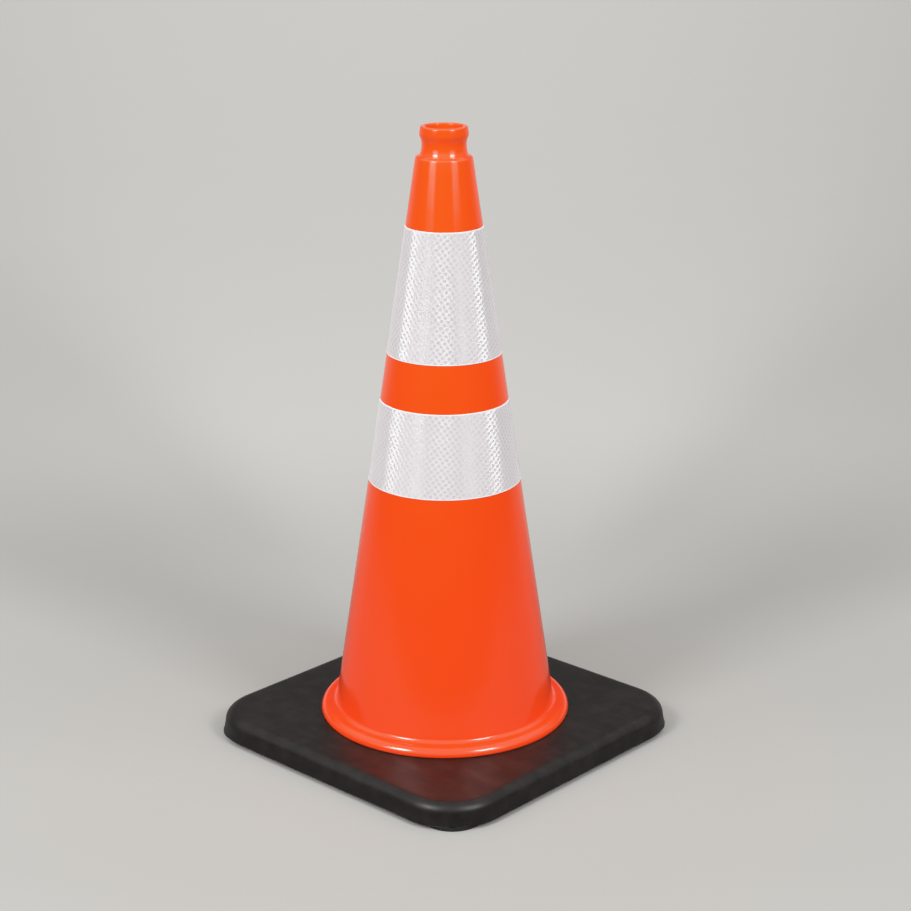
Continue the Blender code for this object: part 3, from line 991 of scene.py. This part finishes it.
def studio_glow(tree, direction):
    """How bright the studio is in a direction: pale behind the object, dim in front of it, with a
    ceiling and with a band above the floor at each side."""
    back = vector_number(tree, "DOT_PRODUCT", direction, -bearing(CAMERA_AZIMUTH, 1.0, 0.0))
    up = add(tree, "ShaderNodeSeparateXYZ", Vector=direction).outputs["Z"]
    sweep = step_between(tree, up, *BACK_TOP_SPAN, BACK_GLOW, HIGH_BACK_GLOW)
    glow = step_between(tree, back, *BACK_SPAN, FRONT_GLOW, sweep)

    upward = calc(tree, "MULTIPLY", up, CEILING_UPWARD)
    over = calc(tree, "MULTIPLY_ADD", back, -CEILING_FORWARD, upward)
    ceiling = step_between(tree, over, *CEILING_SPAN, 0.0, CEILING_GLOW)
    ceiling = calc(tree, "MULTIPLY", ceiling, step_between(tree, up, *CEILING_FOOT_SPAN))

    aside = calc(tree, "ABSOLUTE", calc(tree, "SUBTRACT", back, SIDE_MIDDLE))
    beside = step_between(tree, aside, *SIDE_SPAN, SIDE_GLOW, 0.0)
    beside = calc(tree, "MULTIPLY", beside, step_between(tree, up, *SIDE_FOOT_SPAN))
    return calc(tree, "MAXIMUM", calc(tree, "MAXIMUM", glow, ceiling), beside)


def make_world():
    """An even backdrop all round for the camera, and the studio's glow for everything else."""
    world = bpy.data.worlds.new("studio")
    world.use_nodes = True
    tree = world.node_tree
    direction = tree.nodes.new("ShaderNodeTexCoord").outputs["Generated"]
    glow = mixed(tree, studio_glow(tree, direction), BLACK, WHITE)
    colour = mixed(tree, camera_ray(tree), glow, BACKDROP)
    feed(tree, tree.nodes["Background"].inputs["Color"], colour)
    bpy.context.scene.world = world


def floor_places(tree):
    """How far a place on the floor is to the right of the object, and how far behind it."""
    turn = (0.0, 0.0, -math.radians(CAMERA_AZIMUTH))
    turned = add(tree, "ShaderNodeMapping", Vector=object_place(tree), Rotation=turn)
    parts = add(tree, "ShaderNodeSeparateXYZ", Vector=turned.outputs["Vector"])
    return parts.outputs["X"], parts.outputs["Y"]


def flat_length(tree, side, behind):
    flat = add(tree, "ShaderNodeCombineXYZ", X=side, Y=behind, Z=0.0)
    return vector_number(tree, "LENGTH", flat.outputs["Vector"])


def floor_glow(tree, side, behind, distance):
    """The floor's own light, which grows with distance and is dimmer to the sides."""
    away = calc(tree, "MAXIMUM", calc(tree, "SUBTRACT", distance, GLOW_START), 0.0)
    fading = calc(tree, "EXPONENT", calc(tree, "DIVIDE", away, -FAR_REACH))
    far = calc(tree, "SUBTRACT", 1.0, fading)
    near = step_between(tree, away, 0.0, NEAR_REACH, 0.0, NEAR_GLOW)
    glow = calc(tree, "ADD", near, calc(tree, "MULTIPLY", far, FAR_GLOW))
    along = calc(tree, "MAXIMUM", calc(tree, "ADD", behind, CAMERA_DISTANCE), 1.0)
    slope = calc(tree, "SUBTRACT", calc(tree, "DIVIDE", side, along), DIM_MIDDLE)
    dimming = calc(tree, "MULTIPLY_ADD", calc(tree, "POWER", slope, 2.0), -DIM_RATE, 1.0)
    return calc(tree, "MULTIPLY", glow, calc(tree, "MAXIMUM", dimming, DIM_LEAST))


def painted_floor_shade(tree, side, behind):
    """How much darker the floor is painted in its two long painted shadows and in front of the
    object.
    """
    reach = flat_length(tree, side, behind)
    heading = calc(tree, "DIVIDE", behind, calc(tree, "ADD", reach, NOT_ZERO))
    inner = step_between(tree, heading, *SHADOW_INNER_SPAN, 1.0, 0.0)
    outer = step_between(tree, heading, *SHADOW_OUTER_SPAN)
    start = step_between(tree, reach, *SHADOW_START_SPAN)
    end = step_between(tree, reach, *SHADOW_END_SPAN, 1.0, SHADOW_END)
    across = calc(tree, "MULTIPLY", inner, outer)
    along = calc(tree, "MULTIPLY", start, end)
    shadows = calc(tree, "MULTIPLY", calc(tree, "MULTIPLY", across, along), SHADE)
    front = step_between(tree, behind, *FRONT_SPAN, FRONT_SHADE, 0.0)
    return calc(tree, "ADD", shadows, front)


def shut_out_fills(floor):
    """Leaves the floor out of what the fills light."""
    unfilled = bpy.data.collections.new("unfilled")
    unfilled.objects.link(floor)
    unfilled.collection_objects[0].light_linking.link_state = "EXCLUDE"
    for name in FILLS:
        bpy.data.objects[name].light_linking.receiver_collection = unfilled


def make_floor():
    """A pale floor, whose far part glows enough to meet the backdrop without a line. Its colour is
    painted dark for reflections and bounced light, in front of the object and far out at its
    sides."""
    made, tree, shader = new_material("studio_floor")
    mottle = grain(tree, object_place(tree), *FLOOR_GRAIN)
    shades = [[c * (1 + change) for c in FLOOR_GREY] for change in (-FLOOR_MOTTLE, FLOOR_MOTTLE)]
    grey = mixed(tree, mottle, *shades)
    side, behind = floor_places(tree)
    squeezed = calc(tree, "MULTIPLY", side, GLOW_SQUEEZE)
    distance = flat_length(tree, squeezed, calc(tree, "ADD", behind, GLOW_CENTRE))
    glow = floor_glow(tree, side, behind, distance)
    # Painted shade: the floor's colour and glow are darkened in two long painted shadows and in
    # front of the object.
    shade = painted_floor_shade(tree, side, behind)
    grey = mixed(tree, shade, grey, BLACK)
    glow = calc(tree, "MULTIPLY", glow, calc(tree, "SUBTRACT", 1.0, shade))

    seen = camera_ray(tree)
    backwards = calc(tree, "DIVIDE", behind, calc(tree, "ADD", distance, NOT_ZERO))
    on_sweep = step_between(tree, backwards, *SWEEP_SPAN)
    glow = calc(tree, "MULTIPLY", glow, calc(tree, "MAXIMUM", on_sweep, seen))
    around = calc(
        tree,
        "MULTIPLY",
        step_between(tree, behind, *FRONT_DARK_SPAN),
        step_between(tree, calc(tree, "ABSOLUTE", side), *SIDE_DARK_SPAN, 1.0, 0.0),
    )
    pale = calc(tree, "MULTIPLY", around, AROUND_PALE)
    pale = calc(tree, "MAXIMUM", pale, step_between(tree, backwards, *BACK_PALE_SPAN))
    pale = calc(tree, "MAXIMUM", pale, seen)
    shader.inputs["Roughness"].default_value = FLOOR_ROUGHNESS
    # Painted shade for reflections: the base colour turns dark wherever pale is 0.
    feed(tree, shader.inputs["Base Color"], mixed(tree, pale, FLOOR_PAINTED_DARK, grey))
    feed(tree, shader.inputs["Emission Color"], (*BACKDROP, 1.0))
    feed(tree, shader.inputs["Emission Strength"], glow)

    bm = bmesh.new()
    bmesh.ops.create_grid(
        bm, x_segments=FLOOR_CELLS, y_segments=FLOOR_CELLS, size=FLOOR_SIZE / 2
    )
    floor = object_from(bm, "studio_floor", made)
    shut_out_fills(floor)


def make_tone():
    """A plain transform with a soft shoulder."""
    view = bpy.context.scene.view_settings
    view.view_transform = "Standard"
    view.use_curve_mapping = True
    mapping = view.curve_mapping
    mapping.white_level = (TONE_WHITE, TONE_WHITE, TONE_WHITE)
    curve = mapping.curves[COMBINED_CURVE]
    curve.points[0].location = (0.0, 0.0)
    curve.points[1].location = (1.0, TONE_END)
    for scene_light, shown in TONE_POINTS:
        curve.points.new(scene_light / TONE_WHITE, shown)
    mapping.update()


# --- The object -----------------------------------------------------------------------------


def keep(piece, node):
    """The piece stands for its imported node, and rides on the object's one body."""
    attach(piece, "root")
    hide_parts(node)


def make_object():
    orange, black, pad = orange_pvc(), black_rubber(), pad_rubber()
    lens, backing = prismatic_film(), white_backing()
    collars = {}
    for side in ("upper", "lower"):
        low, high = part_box(f"{side}_collar_lens_film")
        collars[side] = (high.z, low.z)
    keep(make_body(collars.values(), orange), "cone_body")

    feet = [name for name in sorted(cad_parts) if name.startswith("foot_pad_")]
    keep(make_slab([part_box(name) for name in feet], black), "base_slab")
    for name in feet:
        keep(make_foot(f"{name}_rubber", *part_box(name), pad), name)

    for side, (top, bottom) in collars.items():
        film = make_film(f"{side}_backing_film", top, bottom, GAP, FILM_ARRIS / 2, backing)
        keep(film, f"{side}_collar_backing")
        lift = GAP + FILM + GAP
        film = make_film(f"{side}_prismatic_film", top, bottom, lift, FILM_ARRIS, lens)
        keep(film, f"{side}_collar_lens_film")


make_camera()
make_lights()
make_world()
make_floor()
make_tone()
make_object()
